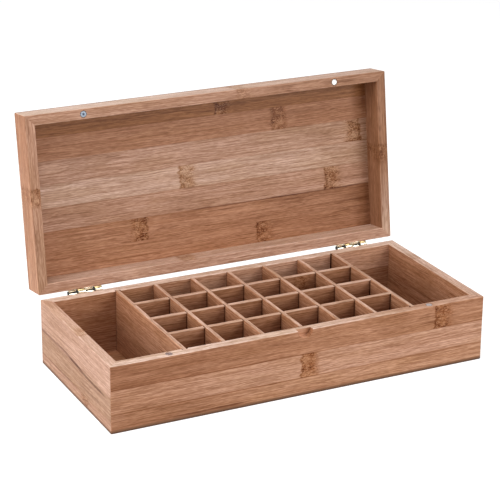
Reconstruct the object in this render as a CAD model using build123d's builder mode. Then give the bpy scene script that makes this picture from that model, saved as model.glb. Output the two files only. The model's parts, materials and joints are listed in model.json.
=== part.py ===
from build123d import *
from math import cos, radians, sin
import os

# Bamboo storage box: a base with a divided tray and two end compartments, and a hinged lid, standing open.
# Millimetres. The origin is the centre of the underside, +X runs along the box, +Y to the hinges, +Z up.

# Outside of the box
box_length = 350.0
box_depth = 156.0
base_height = 59.0
lid_height = 25.5

# Boards
wall = 9.0                # thickness of the wall boards
panel = 3.0               # thickness of the bottom and top panels
divider = 4.0             # thickness of the partitions and dividers
corner_round = 1.0        # rounding of the upright outer corners
rim_round = 0.6           # rounding of the long edges
divider_round = 0.3       # rounding of the top edges in the tray

# Tray
side_room = 57.0          # clear width of each end compartment
columns = 6
rows = 4
dado_depth = 2.0          # how far the partitions go into the front and back walls
dado_play = 1.2           # how much wider those dadoes are, on the side of the cells
row_dado_depth = 1.5      # how far the row dividers go into the partitions
row_dado_play = 0.8       # how much wider those dadoes are, on the front side
lap_play = 0.1            # clearance on each side where two dividers cross

# Finger notch in the middle of the front rim
notch_radius = 7.0
notch_depth = 5.0

# Closing magnets, let into the front rims
magnet_radius = 3.0
magnet_height = 3.0
magnet_ease = 0.3         # bevel around a magnet's faces
magnet_sink = 0.1         # how far a magnet's face lies under the rim
magnet_play = 0.05        # glue gap around a magnet
magnet_from_end = 53.0    # from the end of the box to a magnet's centre

# Hinges: leaves in saw kerfs, knuckles behind the seam
open_angle = 98.0         # degrees from closed to the stop
seam_gap = 0.2            # between the rims when the lid is closed
hinge_from_end = 42.5     # from the end of the box to a hinge's middle
pin_behind = 2.6          # from the back faces to the pin's axis
pin_radius = 1.0
pin_play = 0.05           # running clearance in the lid's knuckles
pin_grip = 0.01           # clearance in the base's knuckles, which hold the pin
pin_proud = 0.3           # how far the pin's rounded end stands out on the right
head_radius = 1.8         # the pin's flat head on the left
head_height = 0.8
head_round = 0.25
barrel_radius = 2.2
knuckle_length = 6.7
wide_gap = 1.9            # between the knuckles of each outer pair
narrow_gap = 0.4          # between the two middle knuckles
washer_radius = 2.0       # black washers on the pin, in the wide gaps
washer_play = 0.1         # between a washer and the knuckles beside it
leaf = 1.0                # thickness of a leaf
leaf_reach = 6.0          # how far a leaf goes into the wall
leaf_drop = 2.8           # from the pin's level to the near face of a leaf
web_drop = 1.6            # from the pin's level to the near edge of a leaf's upright web
lug_drop = 0.3            # from the pin's level to the near face of a knuckle's lug
stop_gap = 0.05           # between heel and web when the lid stands open
kerf_end_play = 0.25      # at each end of a leaf
kerf_deep_play = 0.5      # behind a leaf's inner edge

# Sizes that follow
inner_length = box_length - 2 * wall
inner_depth = box_depth - 2 * wall
base_wall_height = base_height - panel
lid_wall_height = lid_height - panel
partition_x = inner_length / 2 - side_room - divider / 2
cells_length = 2 * partition_x - divider
cell_width = (cells_length - (columns - 1) * divider) / columns
cell_depth = (inner_depth - (rows - 1) * divider) / rows
column_places = [(k - columns / 2) * (cell_width + divider) for k in range(1, columns)]
row_places = [(k - rows / 2) * (cell_depth + divider) for k in range(1, rows)]
magnet_x = box_length / 2 - magnet_from_end
magnet_y = (wall - box_depth) / 2
hinge_x = box_length / 2 - hinge_from_end
hinge_length = 4 * knuckle_length + 2 * wide_gap + narrow_gap
pin_y = box_depth / 2 + pin_behind
pin_z = base_height + seam_gap / 2
sides = {"left": -1, "right": 1}

# Planes: the base's own, and the rim of each half. A sketch on either rim sees the box in plan.
base_floor = Plane.XY.offset(panel)
base_rim = Plane.XY.offset(base_height)
lid_back = Vector(0, cos(radians(open_angle)), -sin(radians(open_angle)))
lid_up = Vector(0, sin(radians(open_angle)), cos(radians(open_angle)))
pin_centre = Vector(0, pin_y, pin_z)
lid_rim_centre = pin_centre - lid_back * (pin_behind + box_depth / 2) + lid_up * (seam_gap / 2)
lid_rim = Plane(origin=lid_rim_centre, x_dir=(1, 0, 0), z_dir=lid_up)


def save(piece, name):
    piece.label = name
    export_step(piece, f"parts/{name}.step")


# Walls. "into" is the way from a rim into its walls: -1 for the base, 1 for the lid.
def wall_frame(rim, into, height):
    """Four walls in one, with rounded corners and rim, magnet pockets and the kerfs for the hinges."""
    way_in = Axis(rim.origin, rim.z_dir * into)
    kerf_reach = leaf_reach + kerf_deep_play
    kerf_length = hinge_length + 2 * kerf_end_play
    with BuildPart() as frame:
        with BuildSketch(rim):
            RectangleRounded(box_length, box_depth, corner_round)
            Rectangle(inner_length, inner_depth, mode=Mode.SUBTRACT)
        extrude(amount=into * height)
        fillet(frame.edges().group_by(way_in)[0], rim_round)
        with BuildSketch(rim):
            with Locations(*[(side * magnet_x, magnet_y) for side in sides.values()]):
                Circle(magnet_radius + magnet_play)
        extrude(amount=into * (magnet_sink + magnet_height), mode=Mode.SUBTRACT)
        with BuildSketch(rim.offset(into * (leaf_drop - seam_gap / 2))):
            with Locations(*[(side * hinge_x, (box_depth - kerf_reach) / 2) for side in sides.values()]):
                Rectangle(kerf_length, kerf_reach)
        extrude(amount=into * leaf, mode=Mode.SUBTRACT)
    return frame.part


def mitred_boards(frame, rim, into, height):
    """The frame cut at its corner mitres into the boards that it is glued up from."""
    end_x = box_length / 2
    ridge_x = (box_length - box_depth) / 2
    boards = {}
    for name, side in (("front", -1), ("back", 1)):
        edge_y = side * box_depth / 2
        boards[name] = [(-end_x, edge_y), (end_x, edge_y), (ridge_x, 0), (-ridge_x, 0)]
    for name, side in sides.items():
        boards[name] = [(side * end_x, -box_depth / 2), (side * ridge_x, 0), (side * end_x, box_depth / 2)]
    for name, outline in boards.items():
        with BuildPart() as board:
            add(frame)
            with BuildSketch(rim):
                with BuildLine():
                    Polyline(*outline, close=True)
                make_face()
            extrude(amount=into * height, mode=Mode.INTERSECT)
        boards[name] = board.part
    return boards


def panel_board(rim, into, height):
    """The thin panel that closes a frame, with its outer edges rounded."""
    way_in = Axis(rim.origin, rim.z_dir * into)
    with BuildPart() as board:
        with BuildSketch(rim.offset(into * height)):
            RectangleRounded(box_length, box_depth, corner_round)
        extrude(amount=into * panel)
        fillet(board.edges().group_by(way_in)[-1], rim_round)
    return board.part


def base_frame():
    """The base's walls, with the dadoes for the partitions and the finger notch."""
    dado_width = divider + dado_play
    dado_x = partition_x - dado_play / 2
    front_face = Plane(origin=(0, -box_depth / 2, base_height), x_dir=(1, 0, 0), z_dir=(0, 1, 0))
    with BuildPart() as frame:
        add(wall_frame(base_rim, -1, base_wall_height))
        with BuildSketch(base_rim):
            with Locations(*[(side * dado_x, 0) for side in sides.values()]):
                Rectangle(dado_width, inner_depth + 2 * dado_depth)
        extrude(amount=-base_wall_height, mode=Mode.SUBTRACT)
        with BuildSketch(front_face):
            Circle(notch_radius)
        extrude(amount=notch_depth, mode=Mode.SUBTRACT)
    return frame.part


# Tray
def tray_board(length_x, length_y, place, along):
    """An upright board on the base's floor, flush with the rim, with its two long top edges rounded."""
    with BuildPart() as board:
        with BuildSketch(base_floor):
            with Locations(place):
                Rectangle(length_x, length_y)
        extrude(amount=base_wall_height)
        fillet(board.edges().filter_by(along).group_by(Axis.Z)[-1], divider_round)
    return board.part


def partition(side):
    """Board between an end compartment and the cells, dadoed for the ends of the row dividers."""
    dado_x = side * (partition_x - divider / 2 + row_dado_depth / 2)
    with BuildPart() as board:
        add(tray_board(divider, inner_depth + 2 * dado_depth, (side * partition_x, 0), Axis.Y))
        with BuildSketch(base_floor):
            with Locations(*[(dado_x, y - row_dado_play / 2) for y in row_places]):
                Rectangle(row_dado_depth, divider + row_dado_play)
        extrude(amount=base_wall_height, mode=Mode.SUBTRACT)
    return board.part


def column_divider(x):
    """Divider from front to back, slotted from below to half its height over each row divider."""
    with BuildPart() as board:
        add(tray_board(divider, inner_depth, (x, 0), Axis.Y))
        with BuildSketch(base_floor):
            with Locations(*[(x, y) for y in row_places]):
                Rectangle(divider, divider + 2 * lap_play)
        extrude(amount=base_wall_height / 2, mode=Mode.SUBTRACT)
    return board.part


def row_divider(y):
    """Divider from partition to partition, slotted from above for each column divider."""
    with BuildPart() as board:
        add(tray_board(cells_length + 2 * row_dado_depth, divider, (0, y), Axis.X))
        with BuildSketch(base_floor.offset(base_wall_height / 2)):
            with Locations(*[(x, y) for x in column_places]):
                Rectangle(divider + 2 * lap_play, divider)
        extrude(amount=base_wall_height / 2, mode=Mode.SUBTRACT)
    return board.part


# Fittings
def magnet(rim, into, side):
    """Disc magnet in its pocket, its face just under the rim."""
    way_in = Axis(rim.origin, rim.z_dir * into)
    with BuildPart() as disc:
        with BuildSketch(rim.offset(into * magnet_sink)):
            with Locations((side * magnet_x, magnet_y)):
                Circle(magnet_radius)
        extrude(amount=into * magnet_height)
        chamfer(disc.edges().filter_by(GeomType.CIRCLE), magnet_ease)
    return disc.part


def hinge_section(x, back):
    """Plane across the hinge at x: its x runs from the pin towards the back of a half, its y away from the other."""
    return Plane(origin=(x, pin_y, pin_z), x_dir=back, z_dir=(1, 0, 0))


def hinge_leaf(side, into, back, knuckle_starts, bore_radius, heel):
    """A leaf in its kerf, its web behind the wall, and its knuckles on lugs around the pin."""
    start_x = side * hinge_x - hinge_length / 2
    web_back = leaf - pin_behind
    leaf_far = into * (leaf_drop + leaf)
    leaf_edge = -pin_behind - leaf_reach
    with BuildPart() as piece:
        with BuildSketch(hinge_section(start_x, back)):
            with BuildLine():
                Polyline(
                    (leaf_edge, into * leaf_drop),
                    (-pin_behind, into * leaf_drop),
                    (-pin_behind, into * web_drop),
                    (web_back, into * web_drop),
                    (web_back, leaf_far),
                    (leaf_edge, leaf_far),
                    close=True,
                )
            make_face()
        extrude(amount=hinge_length)
        for knuckle_start in knuckle_starts:
            with BuildSketch(hinge_section(start_x + knuckle_start, back)):
                Circle(barrel_radius)
                with BuildLine():
                    Polyline(
                        (-pin_behind, into * lug_drop),
                        (0, into * lug_drop),
                        (0, into * barrel_radius),
                        (-pin_behind, into * barrel_radius),
                        close=True,
                    )
                make_face()
            extrude(amount=knuckle_length)
            if heel:
                with BuildSketch(hinge_section(start_x + knuckle_start, (0, 1, 0))):
                    with BuildLine():
                        Polyline(
                            (web_back + stop_gap, -barrel_radius),
                            (-barrel_radius / 2, -barrel_radius),
                            (-barrel_radius / 2, -barrel_radius / 2),
                            (web_back + stop_gap, -barrel_radius / 2),
                            close=True,
                        )
                    make_face()
                extrude(amount=knuckle_length)
        with BuildSketch(hinge_section(start_x, back)):
            Circle(bore_radius)
        extrude(amount=hinge_length, mode=Mode.SUBTRACT)
    return piece.part


def hinge_pin(side):
    """Pin through all the knuckles, with a flat head on the left and a rounded end on the right."""
    start_x = side * hinge_x - hinge_length / 2
    with BuildPart() as pin:
        with BuildSketch(hinge_section(start_x, (0, 1, 0))):
            Circle(pin_radius)
        extrude(amount=hinge_length + pin_proud)
        with BuildSketch(hinge_section(start_x, (0, 1, 0))):
            Circle(head_radius)
        extrude(amount=-head_height)
        edges = pin.edges().filter_by(GeomType.CIRCLE).group_by(Axis.X)
        fillet(edges[0], head_round)
        fillet(edges[-1], pin_proud)
    return pin.part


def hinge_washers(side, gap_starts):
    """Two washers on the pin, one in each wide gap between the knuckles."""
    start_x = side * hinge_x - hinge_length / 2
    with BuildPart() as washers:
        for gap_start in gap_starts:
            with BuildSketch(hinge_section(start_x + gap_start + washer_play, (0, 1, 0))):
                Circle(washer_radius)
                Circle(pin_radius + pin_play, mode=Mode.SUBTRACT)
            extrude(amount=wide_gap - 2 * washer_play)
    return washers.part


os.makedirs("parts", exist_ok=True)

for name, board in mitred_boards(base_frame(), base_rim, -1, base_wall_height).items():
    save(board, f"{name}_wall")
save(panel_board(base_rim, -1, base_wall_height), "bottom_panel")

lid_frame = wall_frame(lid_rim, 1, lid_wall_height)
for name, board in mitred_boards(lid_frame, lid_rim, 1, lid_wall_height).items():
    save(board, f"lid_{name}_wall")
save(panel_board(lid_rim, 1, lid_wall_height), "lid_panel")

for number, x in enumerate(column_places, 1):
    save(column_divider(x), f"column_divider_{number}")
for number, y in enumerate(row_places, 1):
    save(row_divider(y), f"row_divider_{number}")

pair = knuckle_length + wide_gap
base_knuckles = [0, pair + knuckle_length + narrow_gap]
lid_knuckles = [pair, 2 * pair + knuckle_length + narrow_gap]
wide_gaps = [knuckle_start + knuckle_length for knuckle_start in base_knuckles]
for name, side in sides.items():
    save(partition(side), f"{name}_partition")
    save(magnet(base_rim, -1, side), f"base_magnet_{name}")
    save(magnet(lid_rim, 1, side), f"lid_magnet_{name}")
    base_leaf = hinge_leaf(side, -1, (0, 1, 0), base_knuckles, pin_radius + pin_grip, heel=False)
    save(base_leaf, f"hinge_base_leaf_{name}")
    lid_leaf = hinge_leaf(side, 1, lid_back, lid_knuckles, pin_radius + pin_play, heel=True)
    save(lid_leaf, f"hinge_lid_leaf_{name}")
    save(hinge_pin(side), f"hinge_pin_{name}")
    save(hinge_washers(side, wide_gaps), f"hinge_washers_{name}")
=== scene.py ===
from collections import namedtuple
import json
from math import radians

import bmesh
import bpy
from mathutils import Matrix, Vector


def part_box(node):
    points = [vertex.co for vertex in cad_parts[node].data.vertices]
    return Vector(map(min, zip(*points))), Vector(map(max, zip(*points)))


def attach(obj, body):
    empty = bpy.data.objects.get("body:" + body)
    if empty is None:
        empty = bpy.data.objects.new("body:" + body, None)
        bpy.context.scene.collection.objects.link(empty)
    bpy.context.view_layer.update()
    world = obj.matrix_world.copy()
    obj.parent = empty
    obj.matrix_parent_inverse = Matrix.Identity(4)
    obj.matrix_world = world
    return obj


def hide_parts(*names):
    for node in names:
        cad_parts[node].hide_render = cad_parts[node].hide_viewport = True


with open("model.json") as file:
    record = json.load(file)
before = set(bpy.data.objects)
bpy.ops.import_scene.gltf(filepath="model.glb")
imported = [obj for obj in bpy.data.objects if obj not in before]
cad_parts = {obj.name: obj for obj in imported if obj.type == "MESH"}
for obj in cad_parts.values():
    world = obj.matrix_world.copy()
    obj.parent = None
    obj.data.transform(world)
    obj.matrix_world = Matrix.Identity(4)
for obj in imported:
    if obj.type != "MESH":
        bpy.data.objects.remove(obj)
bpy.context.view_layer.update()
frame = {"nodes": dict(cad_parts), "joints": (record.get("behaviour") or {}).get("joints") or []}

# Camera, at the place from which the photograph shows the box. Degrees, and millimetres for the lens.
camera_place = (-0.6808, -1.3300, 0.6652)
camera_azimuth = -26.653
camera_elevation = 20.613
camera_roll = 0.551
camera_lens = 134.54
camera_sensor = 36.0

# Lamps: place, size, power in watts
lamp_aim = (0.0, 0.0, 0.07)
lamps = {
    "top_softbox": ((-0.40, -0.20, 1.55), 1.2, 18.0),
    "left_back_softbox": ((-1.35, 0.95, 0.75), 1.0, 6.8),
    "left_softbox": ((-1.60, -0.10, 0.50), 1.0, 19.5),
    "front_right_softbox": ((0.95, -1.75, 0.75), 1.2, 28.0),
}
ambient_light = 0.31
floor_size = 14.0
floor_white = 0.50        # how much light the floor throws back
floor_glow = 0.69         # what it adds of its own to the eye, so that it looks as white as the backdrop

# Hinge leaves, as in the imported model
knuckle_length = 0.0067
wide_gap = 0.0019         # between the knuckles of each outer pair
narrow_gap = 0.0004       # between the two middle knuckles
knuckle_radius = 0.0022
bore_radius = 0.00105
leaf_thickness = 0.0010
leaf_drop = 0.0028        # from the pin's level to the near face of a leaf
web_drop = 0.0016         # from the pin's level to the near edge of a leaf's upright web
roll_turn = 300.0         # degrees from where a knuckle leaves the web to the lip of its roll
roll_steps = 30
hinge_ease = 0.00012      # bevel along the hinge's edges
bevel_above = 40.0        # degrees between two faces from which their edge is bevelled
smooth_below = 35.0       # degrees up to which two faces are shaded as one
facing = 0.9              # how nearly a face's normal has to point the way that is asked for
merge_distance = 1e-6

# Hinge line, and the turn from the closed lid to the open one
joint = frame["joints"][0]
pin = Vector(joint["pos_m"])
open_turn = Matrix.Rotation(radians(-joint["range_deg"][1]), 3, Vector(joint["axis"]))

# Lengths in the finish of the boards
notch_radius = 0.0070
edge_round = 0.0006       # rounding of the walls' long edges
joint_reach = 0.0020      # from a joint's middle, or from a sunk end, to the face of the other board
joint_soft = 0.0012       # over which the dark seam and painted corner shade at a joint fade
tray_arris = 0.0006       # how much of a tray board's rim keeps the tone of its face
edge_soft = 0.0004        # over which the tones of an arris and the painted light and shade of the notch fade
knot_waver = 0.008        # how much a knot's borders waver
fibre_sway = 0.0045       # how much the fibres sway
fibre_swirl = 0.008       # how much more they do so inside a knot
vein_sway = 0.0030
vein_taper = 0.015        # over which a vein fades at either end

# Where something starts to show, and where it shows fully
rim_edge = (-0.0005, -0.0002)       # a rim's own tone, counted from the rim
outline_edge = (0.0004, 0.0002)     # a panel's dark cut edge, from that edge
glue_edge = (0.0007, 0.0002)        # a glue line, from its middle
painted_shade_reach = (0.0015, 0.0180)       # the painted shade down in the cells, from the rim
notch_shade_turn = (-0.002, 0.006)        # the notch's painted shade, from its middle
knot_start = (-0.0080, -0.0050)     # a knot's sharp border, from the knot's place
knot_end = (0.0135, 0.0020)         # its soft border
border_end = (-0.0036, -0.0056)     # the soft side of the dark line along the sharp border

# Shares
tone_wander = 0.6         # how far the turn from one tone to the other wanders, in board lengths
tone_turn = 0.6           # how long that turn is, in board lengths
rim_turn_at = 0.75        # where it starts on a rim, in board lengths
strip_shift = 0.37        # how far the pattern moves on from one strip to the next
painted_shade_strength = 0.9          # how strong the painted shade down in the cells is
notch_light_and_shade_share = 0.8         # how strong the notch's tones, with their painted shade, are

# What a board is described by. Places and heights are counted from the start of the board's own axes.
# Strip: its tone at either end, its knot's place and strength, and 1 or 0 for a knot whose sharp border is
# its near or its far one.
# Rim: the free edge, at the board's top (side 1) or at its foot (side -1), with its own tones and knot.
# Vein: a dark line, with its height at either end, its strength and half its width.
# Notch: its middle along the board and its radius, and the middle and half of the board's thickness.
# Joints: one of the places where other boards meet this one, their distance, and the strength of the painted
# shade down between them.
# Clouds: the sizes of a noise along, over and through the board, and what is added to the board's seed.
Strip = namedtuple("Strip", "near far knot strength side")
Rim = namedtuple("Rim", "height side near far knot strength")
Vein = namedtuple("Vein", "start end near_height far_height strength reach")
Notch = namedtuple("Notch", "place radius middle reach")
Joints = namedtuple("Joints", "first step shade")
Clouds = namedtuple("Clouds", "sizes number detail distortion", defaults=(2.0, 0.0))

# Patterns of the bamboo
wander_clouds = Clouds((0.090, 0.030, 0.030), 4)
waver_clouds = Clouds((0.009, 0.0035, 0.0035), 5)
sway_clouds = Clouds((0.060, 0.025, 0.025), 6)
swirl_clouds = Clouds((0.006, 0.004, 0.004), 9)
hair_clouds = Clouds((0.055, 0.0008, 0.0008), 0, 1.5)
pore_clouds = Clouds((0.0060, 0.0007, 0.0007), 10, 1.0)
dash_clouds = Clouds((0.032, 0.0009, 0.0009), 8, 1.0)
streak_clouds = Clouds((0.140, 0.0026, 0.0026), 1)
band_clouds = Clouds((0.160, 0.0080, 0.0080), 2, 1.0)
patch_clouds = Clouds((0.045, 0.014, 0.014), 3)
curl_clouds = Clouds((0.0024, 0.0013, 0.0013), 7, 1.0, 1.3)
core_clouds = Clouds((0.0090, 0.0070, 0.0070), 12, 0.0)

# Thin satin varnish
varnish = {"Specular IOR Level": 0.0, "Coat Weight": 0.35, "Coat Roughness": 0.28, "Coat IOR": 1.38}

lengthwise = (1, 0, 0)
depthwise = (0, 1, 0)
upward = (0, 0, 1)


def shade(red, green, blue):
    """A colour given in screen values from 0 to 255, as the linear colour that a shader takes."""
    linear = []
    for value in (red, green, blue):
        share = value / 255
        linear.append(share / 12.92 if share <= 0.04045 else ((share + 0.055) / 1.055) ** 2.4)
    return (*linear, 1.0)


# Bamboo tones, as bare boards look in plain white light
sanded = shade(227, 202, 189)
linen = shade(212, 180, 163)
light = shade(214, 170, 146)
fair = shade(204, 157, 127)
blush = shade(199, 161, 141)
honey = shade(197, 150, 122)
pale = shade(192, 152, 130)
copper = shade(191, 142, 112)
tan = shade(183, 135, 106)
wheat = shade(182, 145, 120)
russet = shade(174, 124, 95)
cinnamon = shade(161, 118, 91)
chestnut = shade(158, 109, 72)
umber = shade(150, 104, 76)
husk = shade(130, 92, 68)
# Darkest tone of a panel's cut edge, which is also painted contact shadow at the panel's foot.
bark_and_foot_shadow = shade(86, 59, 43)

# What darkens or lightens a tone. White would change nothing.
hair_stain = shade(219, 210, 202)
pore_stain = shade(232, 225, 219)
dash_stain = shade(212, 198, 186)
streak_stain = shade(244, 240, 236)
band_stain = shade(247, 243, 238)
patch_stain = shade(248, 246, 240)
olive_stain = shade(240, 232, 214)
amber_stain = shade(235, 214, 184)
core_stain = shade(222, 200, 176)
fleck_stain = shade(174, 142, 110)
border_stain = shade(200, 174, 144)
straw = shade(214, 170, 134)
glue_stain = shade(205, 182, 160)
vein_stain = shade(144, 104, 82)
# A dark joint line that is partly painted shade in the corner where two boards meet.
joint_line_and_shade_stain = shade(140, 112, 92)
# Painted shade, which darkens the tray boards down in the cells.
painted_shade_stain = shade(222, 202, 192)

# Metals, and what darkens the nickel of the magnets: scuffs, and painted reflections in the cores and on the
# rounded edges
brass_tone = (0.94, 0.87, 0.70, 1.0)
# Near-black of the hinge pins and washers, which is painted shade in the gaps between the knuckles.
gap_shade_black_tone = (0.008, 0.007, 0.006, 1.0)
worn_tone = (0.030, 0.027, 0.024, 1.0)
scuff_stain = shade(220, 222, 226)
core_reflection_stain = shade(120, 132, 144)
edge_reflection_stain = shade(116, 104, 98)

# Magnets: side, body, tone, how dark the painted reflection in the core is, and how dark the painted
# reflection on the rounded edge is
# The tones differ from magnet to magnet as painted reflections of one nickel.
magnets = (
    ("left", "base", (0.66, 0.64, 0.70, 1.0), 0.0, 0.2),
    ("right", "base", (0.46, 0.39, 0.38, 1.0), 0.0, 0.3),
    ("left", "lid", (0.17, 0.19, 0.22, 1.0), 1.0, 0.5),
    ("right", "lid", (0.40, 0.38, 0.36, 1.0), 0.0, 1.0),
)


# Nodes
class Nodes:
    """Short calls for the nodes of a material or of the world."""

    def __init__(self, tree):
        self.tree = tree

    def set(self, socket, value):
        """Gives a socket a number, a colour or another node's output."""
        if isinstance(value, bpy.types.NodeSocket):
            self.tree.links.new(value, socket)
        else:
            socket.default_value = value

    def node(self, kind, inputs, **settings):
        made = self.tree.nodes.new(kind)
        for key, value in settings.items():
            setattr(made, key, value)
        for key, value in inputs.items():
            self.set(made.inputs[key], value)
        return made

    def math(self, operation, *values):
        return self.node("ShaderNodeMath", dict(enumerate(values)), operation=operation).outputs[0]

    def product(self, first, *others):
        for other in others:
            first = self.math("MULTIPLY", first, other)
        return first

    def vector_math(self, operation, *values):
        return self.node("ShaderNodeVectorMath", dict(enumerate(values)), operation=operation).outputs

    def ease(self, value, low, high, first=0.0, last=1.0):
        """Goes smoothly from first to last as the value goes from low to high."""
        inputs = {0: value, 1: low, 2: high, 3: first, 4: last}
        return self.node("ShaderNodeMapRange", inputs, interpolation_type="SMOOTHSTEP").outputs[0]

    def grain(self, vector, sizes, seed, detail=2.0, distortion=0.0):
        """Cloudy noise whose clouds are of the given sizes along x, y and z."""
        scale = tuple(1 / size for size in sizes)
        inputs = {"Vector": vector, "Scale": scale, "Location": (seed, seed, seed)}
        spread = self.node("ShaderNodeMapping", inputs).outputs[0]
        inputs = {"Vector": spread, "Scale": 1.0, "Detail": detail, "Distortion": distortion}
        return self.node("ShaderNodeTexNoise", inputs).outputs[0]

    def blend(self, share, first, second):
        """A colour between the two, the second where the share is 1."""
        return self.node("ShaderNodeMix", {0: share, 6: first, 7: second}, data_type="RGBA").outputs[2]

    def tint(self, colour, stain, share):
        """The colour multiplied by a stain, as far as the share says."""
        inputs = {0: share, 6: colour, 7: stain}
        kind = {"data_type": "RGBA", "blend_type": "MULTIPLY", "clamp_factor": False}
        return self.node("ShaderNodeMix", inputs, **kind).outputs[2]

    def seen_directly(self):
        """1 for what the camera sees, also by way of metal or glass, and 0 for light that falls on things."""
        path = self.tree.nodes.new("ShaderNodeLightPath").outputs
        seen = self.math("MAXIMUM", path["Is Camera Ray"], path["Is Glossy Ray"])
        return self.math("MAXIMUM", seen, path["Is Transmission Ray"])


class Finish(Nodes):
    """A material, and calls for its shader."""

    def __init__(self, name):
        self.material = bpy.data.materials.new(name)
        self.material.use_nodes = True
        super().__init__(self.material.node_tree)
        self.shader = self.tree.nodes["Principled BSDF"]

    def feed(self, values):
        """Gives the shader's sockets their values, by their names."""
        for name, value in values.items():
            self.set(self.shader.inputs[name], value)

    def emboss(self, height, strength, distance):
        bump = self.node("ShaderNodeBump", {"Height": height, "Strength": strength, "Distance": distance})
        self.set(self.shader.inputs["Normal"], bump.outputs[0])

    def coordinates(self):
        return self.tree.nodes.new("ShaderNodeTexCoord").outputs["Object"]

    def own_axes(self, axes):
        """Coordinates in a piece's own axes, which are given by their place and turn."""
        place, turn = axes
        inputs = {"Vector": self.coordinates(), "Location": place, "Rotation": turn}
        return self.node("ShaderNodeMapping", inputs, vector_type="TEXTURE").outputs[0]


# Camera, lamps, floor and backdrop
def add_camera():
    camera = bpy.data.objects.new("camera", bpy.data.cameras.new("camera"))
    bpy.context.scene.collection.objects.link(camera)
    turn = Matrix.Rotation(radians(camera_azimuth), 4, "Z")
    turn = turn @ Matrix.Rotation(radians(90 - camera_elevation), 4, "X")
    turn = turn @ Matrix.Rotation(radians(camera_roll), 4, "Z")
    camera.matrix_world = Matrix.Translation(camera_place) @ turn
    camera.data.sensor_width = camera_sensor
    camera.data.lens = camera_lens
    bpy.context.scene.camera = camera


def add_lamp(name, place, size, power):
    lamp = bpy.data.objects.new(name, bpy.data.lights.new(name, "AREA"))
    bpy.context.scene.collection.objects.link(lamp)
    lamp.data.size = size
    lamp.data.energy = power
    lamp.location = place
    lamp.rotation_euler = (Vector(lamp_aim) - Vector(place)).to_track_quat("-Z", "Y").to_euler()
    lamp.visible_camera = False


def add_floor():
    """White floor that keeps the shadow at the foot of the box."""
    bpy.ops.mesh.primitive_plane_add(size=floor_size)
    floor = bpy.context.object
    floor.name = "floor"
    finish = Finish("floor_white")
    finish.feed({
        "Base Color": (floor_white, floor_white, floor_white, 1.0),
        "Roughness": 1.0,
        "Specular IOR Level": 0.0,
        "Emission Color": (1.0, 1.0, 1.0, 1.0),
        "Emission Strength": finish.math("MULTIPLY", finish.seen_directly(), floor_glow),
    })
    floor.data.materials.append(finish.material)


def add_world():
    """White all round to the eye, and a dimmer even light to the box."""
    world = bpy.data.worlds.new("studio")
    bpy.context.scene.world = world
    world.use_nodes = True
    nodes = Nodes(world.node_tree)
    background = world.node_tree.nodes["Background"]
    nodes.set(background.inputs["Color"], (1.0, 1.0, 1.0, 1.0))
    strength = nodes.math("MULTIPLY_ADD", nodes.seen_directly(), 1.0 - ambient_light, ambient_light)
    nodes.set(background.inputs["Strength"], strength)


# Boards
def laid(origin, along, across, body):
    """Place and turn of a piece's own axes, which are given with the lid closed: the first runs along, the
    second across. A lid piece turns with the lid."""
    place = Vector(origin)
    normal = Vector(along).cross(Vector(across))
    turn = Matrix((along, across, normal)).transposed()
    if body == "lid":
        place = pin + open_turn @ (place - pin)
        turn = open_turn @ turn
    return place, turn.to_euler()


def closed_box(node):
    """Lowest and highest corner of a lid node with the lid closed."""
    close_turn = open_turn.inverted()
    corners = [pin + close_turn @ (vertex.co - pin) for vertex in frame["nodes"][node].data.vertices]
    low = Vector([min(corner[axis] for corner in corners) for axis in range(3)])
    high = Vector([max(corner[axis] for corner in corners) for axis in range(3)])
    return low, high


def dress(node, material):
    """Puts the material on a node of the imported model."""
    for slot in frame["nodes"][node].material_slots:
        slot.material = material


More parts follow.
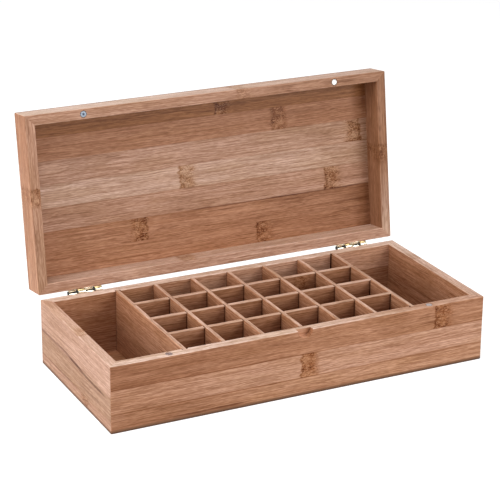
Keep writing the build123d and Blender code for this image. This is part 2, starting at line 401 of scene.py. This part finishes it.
class Board(Finish):
    """Finish of a board glued up from bamboo strips. It is drawn in the board's own axes: the first runs with
    the grain, the second over the strips, and the third through the board."""

    def __init__(self, name, axes, length, seed):
        super().__init__(name)
        self.length = length
        self.seed = seed
        self.place = self.own_axes(axes)
        self.along, self.across, self.through = self.node("ShaderNodeSeparateXYZ", {0: self.place}).outputs
        wander = self.clouds(self.place, wander_clouds)
        self.run = self.math("MULTIPLY_ADD", wander, tone_wander, self.math("DIVIDE", self.along, length))

    def clouds(self, vector, kind):
        return self.grain(vector, kind.sizes, self.seed + kind.number, kind.detail, kind.distortion)

    def spread(self, vector, kind):
        """Clouds that go below zero as far as above it."""
        return self.math("SUBTRACT", self.clouds(vector, kind), 0.5)

    def table(self, share, colours):
        """Ramp that gives each strip its own colour, by the strip's share of the board."""
        ramp = self.node("ShaderNodeValToRGB", {0: share})
        ramp.color_ramp.interpolation = "CONSTANT"
        ramp.color_ramp.elements.remove(ramp.color_ramp.elements[1])
        for step in range(1, len(colours)):
            ramp.color_ramp.elements.new(step / len(colours))
        for element, colour in zip(ramp.color_ramp.elements, colours):
            element.color = colour
        return ramp.outputs

    def lay_strips(self, strips, first_edge, strip_width, turn_at):
        """Gives each strip its tones, the place of its knot, and a pattern of its own."""
        count = len(strips)
        if count > 1:
            low = first_edge + strip_width / 2
            high = first_edge + (count - 0.5) * strip_width
            inputs = {0: self.across, 1: low, 2: high, 3: 0.5, 4: count - 0.5}
            climb = self.node("ShaderNodeMapRange", inputs).outputs[0]
            number = self.math("FLOOR", climb)
            share = self.math("DIVIDE", self.math("ADD", number, 0.5), count)
            near = self.table(share, [strip.near for strip in strips])[0]
            far = self.table(share, [strip.far for strip in strips])[0]
            knots = self.table(share, [(strip.knot, strip.side, 0.0, strip.strength) for strip in strips])
            self.knot_place, self.knot_side = self.node("ShaderNodeSeparateColor", {0: knots[0]}).outputs[:2]
            self.knot_strength = knots[1]
            self.from_glue = self.product(self.math("PINGPONG", climb, 0.5), strip_width)
            shift = self.node("ShaderNodeCombineXYZ", {0: self.product(number, strip_shift)}).outputs[0]
            self.own = self.vector_math("ADD", self.place, shift)[0]
        else:
            near, far, self.knot_place, self.knot_strength, self.knot_side = strips[0]
            self.from_glue = None
            self.own = self.place
        self.colour = self.blend(self.ease(self.run, turn_at, turn_at + tone_turn), near, far)

    def lay_rim(self, rim, arris):
        """Gives the free edge its own tones and knot. Beside the face where the third axis starts, a strip as
        wide as the arris keeps the tone of that face."""
        self.rim = rim
        above = self.product(self.math("SUBTRACT", self.across, rim.height), rim.side)
        self.on_rim = self.ease(above, *rim_edge)
        if arris:
            self.on_rim = self.product(self.on_rim, self.ease(self.through, arris, arris + edge_soft))
        tone = self.blend(self.ease(self.run, rim_turn_at, rim_turn_at + tone_turn), rim.near, rim.far)
        self.colour = self.blend(self.on_rim, self.colour, tone)
        change = self.math("SUBTRACT", rim.knot, self.knot_place)
        self.knot_place = self.math("MULTIPLY_ADD", change, self.on_rim, self.knot_place)
        change = self.math("SUBTRACT", rim.strength, self.knot_strength)
        self.knot_strength = self.math("MULTIPLY_ADD", change, self.on_rim, self.knot_strength)

    def off_rim(self):
        return self.math("SUBTRACT", 1.0, self.on_rim)

    def place_knots(self):
        """Finds the knots: patches over the strips, with one border dark and sharp and the other soft."""
        from_knot = self.math("SUBTRACT", self.along, self.knot_place)
        from_knot = self.product(from_knot, self.math("MULTIPLY_ADD", self.knot_side, 2.0, -1.0))
        from_knot = self.math("MULTIPLY_ADD", self.spread(self.own, waver_clouds), knot_waver, from_knot)
        rising = self.ease(from_knot, *knot_start)
        self.knot = self.product(rising, self.ease(from_knot, *knot_end), self.knot_strength)
        self.border = self.product(rising, self.ease(from_knot, *border_end), self.knot_strength)

    def draw_fibres(self, figure):
        """Fibres, from fine hairs and dark dashes to broad soft bands. They sway, and swirl in a knot."""
        self.sway = self.spread(self.own, sway_clouds)
        swirl = self.product(self.spread(self.own, swirl_clouds), self.product(self.knot, fibre_swirl))
        off = self.math("MULTIPLY_ADD", self.sway, fibre_sway, swirl)
        bent = self.node("ShaderNodeCombineXYZ", {1: off, 2: off}).outputs[0]
        bent = self.vector_math("ADD", self.own, bent)[0]
        self.hairs = self.clouds(bent, hair_clouds)
        self.streaks = self.clouds(bent, streak_clouds)
        self.bands = self.clouds(self.own, band_clouds)
        stains = (
            (streak_stain, self.streaks, 0.60, 0.38),
            (hair_stain, self.hairs, 0.62, 0.38),
            (pore_stain, self.clouds(bent, pore_clouds), 0.60, 0.40),
            (dash_stain, self.clouds(bent, dash_clouds), 0.38, 0.28),
            (band_stain, self.bands, 0.40, 0.64),
            (patch_stain, self.clouds(self.own, patch_clouds), 0.42, 0.66),
        )
        for stain, pattern, none, full in stains:
            share = self.product(self.ease(pattern, none, full), figure)
            self.colour = self.tint(self.colour, stain, share)

    def draw_knots(self, knot_stain):
        """The knots are darker, and full of dark and pale flecks."""
        self.curls = self.clouds(self.own, curl_clouds)
        core = self.ease(self.clouds(self.own, core_clouds), 0.60, 0.40)
        self.colour = self.tint(self.colour, knot_stain, self.knot)
        self.colour = self.tint(self.colour, core_stain, self.product(core, self.knot))
        self.colour = self.tint(self.colour, border_stain, self.border)
        dark_flecks = self.product(self.ease(self.curls, 0.50, 0.40), self.knot)
        dark_flecks = self.product(dark_flecks, self.math("MULTIPLY_ADD", core, 0.6, 0.4))
        self.colour = self.tint(self.colour, fleck_stain, dark_flecks)
        pale_flecks = self.product(self.ease(self.curls, 0.52, 0.64, 0.0, 0.3), self.knot)
        self.colour = self.blend(pale_flecks, self.colour, straw)

    def draw_glue(self, strength):
        line = self.ease(self.from_glue, *glue_edge, 0.0, strength)
        line = self.product(line, self.ease(self.bands, 0.3, 0.6, 0.3, 1.0))
        self.colour = self.tint(self.colour, glue_stain, line)

    def draw_vein(self, vein):
        inputs = {0: self.along, 1: vein.start, 2: vein.end, 3: vein.near_height, 4: vein.far_height}
        height = self.node("ShaderNodeMapRange", inputs).outputs[0]
        apart = self.math("SUBTRACT", self.across, height)
        apart = self.math("ABSOLUTE", self.math("MULTIPLY_ADD", self.sway, vein_sway, apart))
        line = self.ease(apart, vein.reach * 0.3, vein.reach, vein.strength, 0.0)
        line = self.product(line, self.ease(self.along, vein.start, vein.start + vein_taper))
        line = self.product(line, self.ease(self.along, vein.end, vein.end - vein_taper))
        line = self.product(line, self.ease(self.streaks, 0.35, 0.60, 0.6, 1.0))
        self.colour = self.tint(self.colour, vein_stain, line)

    def tone_notch(self, notch):
        """The cut wood in the notch, with painted shade that darkens it from its near end to its far one."""
        beside = self.math("ABSOLUTE", self.math("SUBTRACT", self.along, notch.place))
        within = self.math("ABSOLUTE", self.math("SUBTRACT", self.through, notch.middle))
        below = self.math("SUBTRACT", self.rim.height, self.across)
        inside = self.product(
            self.ease(beside, notch.radius + edge_soft, notch.radius),
            self.ease(within, notch.reach - edge_round / 2, notch.reach - edge_round),
            self.ease(below, notch.radius + edge_soft, notch.radius),
            self.off_rim(),
        )
        turn_start, turn_end = notch_shade_turn
        turn = self.ease(self.along, notch.place + turn_start, notch.place + turn_end)
        # painted shade: the notch is lighter at its near end and darker at its far end
        tone = self.blend(turn, honey, umber)
        tone = self.tint(tone, core_stain, self.ease(self.hairs, 0.40, 0.60, 0.7, 0.0))
        self.colour = self.blend(self.product(inside, notch_light_and_shade_share), self.colour, tone)

    def tone_joints(self, joints):
        """A dark seam with painted corner shade wherever another board meets this one, and painted shade down
        away from the rim.
        """
        from_joint = self.math("PINGPONG", self.math("SUBTRACT", self.along, joints.first), joints.step / 2)
        # dark joint line, partly real and partly painted corner shade
        joint_line_and_shade = self.ease(from_joint, joint_reach + joint_soft, joint_reach)
        self.colour = self.tint(self.colour, joint_line_and_shade_stain, self.product(joint_line_and_shade, self.off_rim()))
        below = self.math("SUBTRACT", self.rim.height, self.across)
        # painted shade: darker down in the cells, away from the rim
        self.colour = self.tint(self.colour, painted_shade_stain, self.ease(below, *painted_shade_reach, 0.0, joints.shade))

    def tone_outline(self, depth, height):
        """The dark cut edge all round a panel, with painted contact shadow that makes it darkest at its foot.
        """
        from_side = self.math("PINGPONG", self.across, depth / 2)
        from_end = self.math("PINGPONG", self.along, self.length / 2)
        at_edge = self.ease(self.math("MINIMUM", from_side, from_end), *outline_edge)
        # darkest at the foot: painted contact shadow over the cut edge's own dark tone
        tone = self.blend(self.ease(self.through, height * 0.2, height * 0.8), bark_and_foot_shadow, husk)
        self.colour = self.blend(at_edge, self.colour, tone)

    def varnished(self):
        """The material, with its colour, its gloss and the relief of its fibres."""
        lines = self.math("MULTIPLY_ADD", self.streaks, 0.4, self.product(self.hairs, 0.6))
        self.feed({"Base Color": self.colour, "Roughness": self.ease(lines, 0.35, 0.65, 0.62, 0.52)})
        self.feed(varnish)
        relief = self.math("MULTIPLY_ADD", self.curls, self.knot, lines)
        self.emboss(relief, strength=0.2, distance=0.0002)
        return self.material


def bamboo(name, axes, length, strips, first_edge=0.0, strip_width=1.0, turn_at=0.5, figure=1.0, glue=0.4,
           knot_stain=olive_stain, rim=None, arris=0.0, veins=(), notch=None, joints=None, outline=None,
           seed=0.0):
    """Material of a board. The first strip starts at first_edge, and a strip's near tone starts to turn into
    its far one at turn_at, in board lengths. Figure and glue say how strongly fibres and glue lines show. An
    outline is the depth and the height of a panel whose cut edge is dark."""
    board = Board(name, axes, length, seed)
    board.lay_strips(strips, first_edge, strip_width, turn_at)
    if rim:
        board.lay_rim(rim, arris)
    board.place_knots()
    board.draw_fibres(figure)
    board.draw_knots(knot_stain)
    if len(strips) > 1:
        board.draw_glue(glue)
    for vein in veins:
        board.draw_vein(vein)
    if notch:
        board.tone_notch(notch)
    if joints:
        board.tone_joints(joints)
    if outline:
        board.tone_outline(*outline)
    return board.varnished()


def wall_axes(body):
    """Own axes of the long walls and of the end walls, both from the corner at the left and in front."""
    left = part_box("left_wall")[0].x
    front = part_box("front_wall")[0].y
    along_x = laid((left, 0, 0), lengthwise, upward, body)
    along_y = laid((0, front, 0), depthwise, upward, body)
    return along_x, along_y


def dress_long_walls():
    low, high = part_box("front_wall")
    length = high.x - low.x
    along_x = wall_axes("base")[0]
    front = bamboo(
        "front_bamboo", along_x, length,
        [
            Strip(tan, fair, 0.175, 0.0, 1),
            Strip(honey, light, 0.178, 0.9, 1),
            Strip(russet, copper, 0.3075, 0.8, 1),
        ],
        first_edge=-0.0045, strip_width=0.021, turn_at=0.33, glue=0.9, knot_stain=amber_stain,
        rim=Rim(high.z, 1, sanded, honey, 0.25, 0.0), veins=[Vein(0.050, 0.125, 0.0042, 0.0042, 0.8, 0.0012)],
        notch=Notch(length / 2, notch_radius, -(low.y + high.y) / 2, (high.y - low.y) / 2), seed=1.0,
    )
    dress("front_wall", front)
    back = bamboo(
        "back_bamboo", along_x, length,
        [
            Strip(tan, tan, 0.12, 0.0, 1),
            Strip(copper, tan, 0.232, 0.6, 0),
            Strip(copper, light, 0.07, 0.0, 1),
        ],
        first_edge=-0.0045, strip_width=0.021, rim=Rim(high.z, 1, sanded, sanded, 0.2, 0.0), seed=2.0,
    )
    dress("back_wall", back)


def dress_end_walls():
    low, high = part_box("left_wall")
    along_y = wall_axes("base")[1]
    left_strips = [
        Strip(pale, pale, 0.056, 0.5, 1),
        Strip(wheat, wheat, 0.1, 0.0, 1),
        Strip(blush, blush, 0.1, 0.0, 1),
    ]
    right_strips = [
        Strip(tan, tan, 0.12, 0.0, 1),
        Strip(tan, tan, 0.1, 0.0, 1),
        Strip(copper, tan, 0.05, 0.0, 1),
    ]
    left_rim = Rim(high.z, 1, linen, blush, 0.075, 0.4)
    right_rim = Rim(high.z, 1, linen, sanded, 0.11, 0.3)
    left_veins = [
        Vein(0.008, 0.062, 0.0283, 0.0296, 1.0, 0.0017),
        Vein(0.047, 0.100, 0.0290, 0.0330, 1.0, 0.0019),
        Vein(0.086, 0.165, 0.0327, 0.0331, 0.9, 0.0017),
        Vein(0.015, 0.080, 0.0170, 0.0165, 0.35, 0.0016),
        Vein(0.080, 0.135, 0.0110, 0.0106, 0.45, 0.0016),
        Vein(-0.02, 0.070, 0.0242, 0.0240, 0.3, 0.0014),
    ]
    walls = (
        ("left_wall", left_strips, left_rim, left_veins, 0.85, 3.0),
        ("right_wall", right_strips, right_rim, [], 1.0, 4.0),
    )
    for node, strips, rim, veins, figure, seed in walls:
        wall = bamboo(
            f"{node}_bamboo", along_y, high.y - low.y, strips, first_edge=-0.0105, strip_width=0.021,
            figure=figure, rim=rim, veins=veins, seed=seed,
        )
        dress(node, wall)


def dress_lid_walls():
    """The walls of the lid, which are as long and as deep as those of the base."""
    rim_height = closed_box("lid_front_wall")[0].z
    front_low, front_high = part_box("front_wall")
    left_low, left_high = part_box("left_wall")
    length = front_high.x - front_low.x
    depth = left_high.y - left_low.y
    along_x, along_y = wall_axes("lid")

    # Node, own axes, length, tones of the board and of its rim, place of the knot, strength of it on the rim,
    # seed
    rails = (
        ("lid_front_wall", along_x, length, (sanded, linen), (pale, cinnamon), 0.205, 0.3, 11.0),
        ("lid_back_wall", along_x, length, (linen, linen), (blush, blush), 0.145, 0.0, 12.0),
        ("lid_left_wall", along_y, depth, (tan, honey), (pale, wheat), 0.070, 0.7, 13.0),
        ("lid_right_wall", along_y, depth, (cinnamon, cinnamon), (cinnamon, linen), 0.075, 0.8, 14.0),
    )
    for node, axes, reach, (near, far), edge_tones, knot, edge_knot, seed in rails:
        rail = bamboo(
            f"{node}_bamboo", axes, reach, [Strip(near, far, knot, 0.5, 1)],
            rim=Rim(rim_height, -1, *edge_tones, knot, edge_knot), seed=seed,
        )
        dress(node, rail)


def dress_panels():
    low, high = closed_box("lid_panel")
    lid = bamboo(
        "lid_panel_bamboo", laid(low, lengthwise, depthwise, "lid"), high.x - low.x,
        [
            Strip(chestnut, chestnut, 0.3, 0.0, 1),
            Strip(chestnut, chestnut, 0.1927, 0.9, 1),
            Strip(tan, tan, 0.2488, 0.8, 1),
            Strip(blush, wheat, 0.3275, 0.9, 0),
            Strip(linen, wheat, 0.1544, 0.8, 1),
            Strip(pale, pale, 0.301, 1.0, 1),
            Strip(tan, umber, 0.108, 1.0, 0),
            Strip(tan, umber, 0.2276, 0.8, 1),
            Strip(tan, umber, 0.2, 0.0, 1),
        ],
        first_edge=-0.0172, strip_width=0.0207, turn_at=0.8, glue=0.3,
        veins=[Vein(0.150, 0.345, 0.1072, 0.1072, 0.8, 0.0010)], seed=21.0,
    )
    dress("lid_panel", lid)
    low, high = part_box("bottom_panel")
    bottom = bamboo(
        "bottom_panel_bamboo", laid(low, lengthwise, depthwise, "base"), high.x - low.x,
        [
            Strip(russet, cinnamon, 0.06, 0.6, 1),
            Strip(russet, cinnamon, 0.21, 0.7, 0),
            Strip(cinnamon, russet, 0.14, 0.6, 1),
            Strip(russet, cinnamon, 0.3, 0.8, 1),
            Strip(cinnamon, russet, 0.09, 0.6, 0),
            Strip(russet, cinnamon, 0.25, 0.7, 1),
            Strip(cinnamon, russet, 0.17, 0.6, 1),
            Strip(russet, cinnamon, 0.32, 0.5, 0),
        ],
        first_edge=-0.005, strip_width=0.0207, outline=(high.y - low.y, high.z - low.z), seed=31.0,
    )
    dress("bottom_panel", bottom)


def dress_tray():
    """The boards of the tray. All have pale sanded top edges."""
    column_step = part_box("column_divider_2")[0].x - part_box("column_divider_1")[0].x
    row_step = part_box("row_divider_2")[0].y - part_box("row_divider_1")[0].y
    boards = [("left_partition", depthwise, None, 41.0), ("right_partition", depthwise, None, 42.0)]
    boards += [(f"column_divider_{number}", depthwise, row_step, 51.0 + number) for number in range(1, 6)]
    boards += [(f"row_divider_{number}", lengthwise, column_step, 61.0 + number) for number in range(1, 4)]
    for node, along, step, seed in boards:
        low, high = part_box(node)
        length = (high - low).dot(Vector(along))
        # the left partition gets no painted shade down in the cells, the other tray boards do
        near, far, darker = (honey, copper, 0.0) if node == "left_partition" else (tan, tan, painted_shade_strength)
        knot_strength = 0.6 if node == "row_divider_3" else 0.0
        board = bamboo(
            f"{node}_bamboo", laid(low, along, upward, "base"), length,
            [Strip(near, far, 0.161, knot_strength, 1)],
            rim=Rim(high.z - low.z, 1, linen, linen, 0.1, 0.0),
            arris=tray_arris if along == depthwise else 0.0,
            joints=Joints(length / 2, step, darker) if step else Joints(0.0, length, darker),
            seed=seed,
        )
        dress(node, board)


# Hinge leaves
def start_shaping(name, centre, size):
    """A block of the given size and place, ready to be shaped."""
    bpy.ops.object.select_all(action="DESELECT")
    bpy.ops.mesh.primitive_cube_add(size=1, location=centre, scale=size)
    bpy.ops.object.transform_apply(location=True, rotation=True, scale=True)
    bpy.context.object.name = name
    bpy.ops.object.mode_set(mode="EDIT")
    bpy.ops.mesh.select_mode(type="FACE")
    return bpy.context.object


def cut(place, normal):
    bpy.ops.mesh.select_all(action="SELECT")
    bpy.ops.mesh.bisect(plane_co=place, plane_no=normal)


def pick_faces(piece, wanted):
    """Selects the faces whose middle and normal are wanted, and nothing else."""
    bpy.ops.mesh.select_all(action="DESELECT")
    mesh = bmesh.from_edit_mesh(piece.data)
    for face in mesh.faces:
        face.select_set(wanted(face.calc_center_median(), face.normal))
    bmesh.update_edit_mesh(piece.data)


def hinge_leaf(name, way, low, high, knuckles):
    """Leaf in its kerf, web behind the wall, and knuckles rolled around the pin. The way is from the pin into
    the walls: -1 down into the base, 1 up into the closed lid."""
    wall_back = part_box("back_wall")[1].y
    web_back = wall_back + leaf_thickness
    web_edge = pin.z + way * web_drop
    leaf_face = pin.z + way * leaf_drop
    leaf_far = leaf_face + way * leaf_thickness
    roll_wide = knuckle_radius - bore_radius
    roll_middle = pin.y - (knuckle_radius + bore_radius) / 2
    web_middle = (wall_back + web_back) / 2
    centre = ((low.x + high.x) / 2, web_middle, (web_edge + leaf_far) / 2)
    piece = start_shaping(name, centre, (high.x - low.x, leaf_thickness, abs(leaf_far - web_edge)))
    ranges = [(low.x + start, low.x + start + knuckle_length) for start in knuckles]
    for range_low, range_high in ranges:
        cut((range_low, 0, 0), lengthwise)
        cut((range_high, 0, 0), lengthwise)
    cut((0, 0, leaf_face), upward)
    pick_faces(piece, lambda middle, normal: normal.y < -facing and way * (middle.z - leaf_face) > 0)
    bpy.ops.mesh.extrude_region_move(TRANSFORM_OT_translate={"value": (0, low.y - wall_back, 0)})

    def at_knuckle(middle, normal):
        beside = any(range_low < middle.x < range_high for range_low, range_high in ranges)
        return beside and way * normal.z < -facing and way * (middle.z - web_edge) < hinge_ease

    pick_faces(piece, at_knuckle)
    rise = (0, roll_middle - web_middle, pin.z - web_edge)
    bpy.ops.mesh.extrude_region_move(TRANSFORM_OT_translate={"value": rise})
    bpy.ops.transform.resize(value=(1, roll_wide / leaf_thickness, 1), center_override=(0, roll_middle, 0))
    bpy.ops.mesh.spin(steps=roll_steps, angle=way * radians(roll_turn), center=pin, axis=lengthwise)
    bpy.ops.mesh.select_all(action="SELECT")
    bpy.ops.mesh.remove_doubles(threshold=merge_distance)
    bpy.ops.mesh.normals_make_consistent(inside=False)
    bpy.ops.object.mode_set(mode="OBJECT")
    ease = piece.modifiers.new("ease", "BEVEL")
    ease.width = hinge_ease
    ease.segments = 2
    ease.limit_method = "ANGLE"
    ease.angle_limit = radians(bevel_above)
    bpy.ops.object.modifier_apply(modifier=ease.name)
    bpy.ops.object.shade_smooth_by_angle(angle=radians(smooth_below))
    return piece


def add_hinges(brass):
    """Both hinges: each leaf is modelled on the left with the lid closed, and copied to the right."""
    pair = knuckle_length + wide_gap
    middle_pair = pair + knuckle_length + narrow_gap
    leaves = {
        "base": (-1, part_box("hinge_base_leaf_left"), [0, middle_pair]),
        "lid": (1, closed_box("hinge_lid_leaf_left"), [pair, middle_pair + pair]),
    }
    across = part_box("hinge_pin_right")[0].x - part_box("hinge_pin_left")[0].x
    for body, (way, (low, high), knuckles) in leaves.items():
        left = hinge_leaf(f"{body}_leaf_left", way, low, high, knuckles)
        left.data.materials.append(brass)
        if body == "lid":
            left.matrix_world = Matrix.Translation(pin) @ open_turn.to_4x4() @ Matrix.Translation(-pin)
            bpy.ops.object.transform_apply(location=True, rotation=True, scale=True)
        bpy.ops.object.duplicate()
        right = bpy.context.object
        right.name = f"{body}_leaf_right"
        right.location.x = across
        bpy.ops.object.transform_apply(location=True, rotation=True, scale=True)
        for side, piece in (("left", left), ("right", right)):
            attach(piece, body)
            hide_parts(f"hinge_{body}_leaf_{side}")


# Metal
def brass_finish():
    """Polished brass, faintly brushed along X."""
    finish = Finish("hinge_brass")
    coordinates = finish.coordinates()
    brushed = finish.grain(coordinates, (0.004, 0.0002, 0.0002), seed=0.0, detail=3.0)
    cloudy = finish.grain(coordinates, (0.003, 0.003, 0.003), seed=3.0)
    finish.feed({
        "Base Color": finish.tint(brass_tone, band_stain, finish.ease(cloudy, 0.4, 0.7)),
        "Metallic": 1.0,
        "Roughness": finish.ease(brushed, 0.3, 0.7, 0.24, 0.36),
    })
    finish.emboss(brushed, strength=0.15, distance=0.00005)
    return finish.material


def gap_shade_finish():
    """Dull black of the pins and washers, a little worn. The black is painted shade in the gaps between the
    knuckles.
    """
    finish = Finish("pin_black_painted_shade")
    worn = finish.grain(finish.coordinates(), (0.0020, 0.0008, 0.0008), seed=2.0, detail=3.0)
    finish.feed({
        "Base Color": finish.blend(finish.ease(worn, 0.45, 0.70), gap_shade_black_tone, worn_tone),
        "Roughness": finish.ease(worn, 0.3, 0.7, 0.45, 0.60),
        "Specular IOR Level": 0.3,
    })
    return finish.material


def magnet_finish(side, body, tone, core_reflection, edge_reflection):
    """Nickel disc, scuffed all over. Its tone, a darker core and a darker rounded edge are painted
    reflections.
    """
    node = f"{body}_magnet_{side}"
    finish = Finish(f"{node}_nickel")
    low, high = closed_box(node) if body == "lid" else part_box(node)
    radius = (high.x - low.x) / 2
    disc = finish.own_axes(laid((low + high) / 2, lengthwise, depthwise, body))
    flat = finish.vector_math("MULTIPLY", disc, (1.0, 1.0, 0.0))[0]
    out = finish.vector_math("LENGTH", flat)["Value"]
    scuffs = finish.grain(disc, (0.0012, 0.0012, 0.0012), seed=4.0, detail=3.0)
    colour = finish.tint(tone, scuff_stain, finish.ease(scuffs, 0.62, 0.40))
    # painted reflections: a darker core and a darker rounded edge
    colour = finish.tint(colour, core_reflection_stain, finish.ease(out, radius * 0.55, radius * 0.15, 0.0, core_reflection))
    colour = finish.tint(colour, edge_reflection_stain, finish.ease(out, radius * 0.68, radius * 0.92, 0.0, edge_reflection))
    finish.feed({
        "Base Color": colour,
        "Metallic": 1.0,
        "Roughness": finish.ease(scuffs, 0.3, 0.7, 0.22, 0.38),
    })
    return finish.material


def dress_fittings():
    add_hinges(brass_finish())
    # the pins and washers are near-black as painted shade in the knuckle gaps
    gap_shade = gap_shade_finish()
    for side in ("left", "right"):
        dress(f"hinge_pin_{side}", gap_shade)
        dress(f"hinge_washers_{side}", gap_shade)
    for side, body, tone, core_reflection, edge_reflection in magnets:
        dress(f"{body}_magnet_{side}", magnet_finish(side, body, tone, core_reflection, edge_reflection))


add_camera()
bpy.context.scene.view_settings.view_transform = "Standard"
add_world()
for name, (place, size, power) in lamps.items():
    add_lamp(name, place, size, power)
add_floor()
dress_long_walls()
dress_end_walls()
dress_lid_walls()
dress_panels()
dress_tray()
dress_fittings()
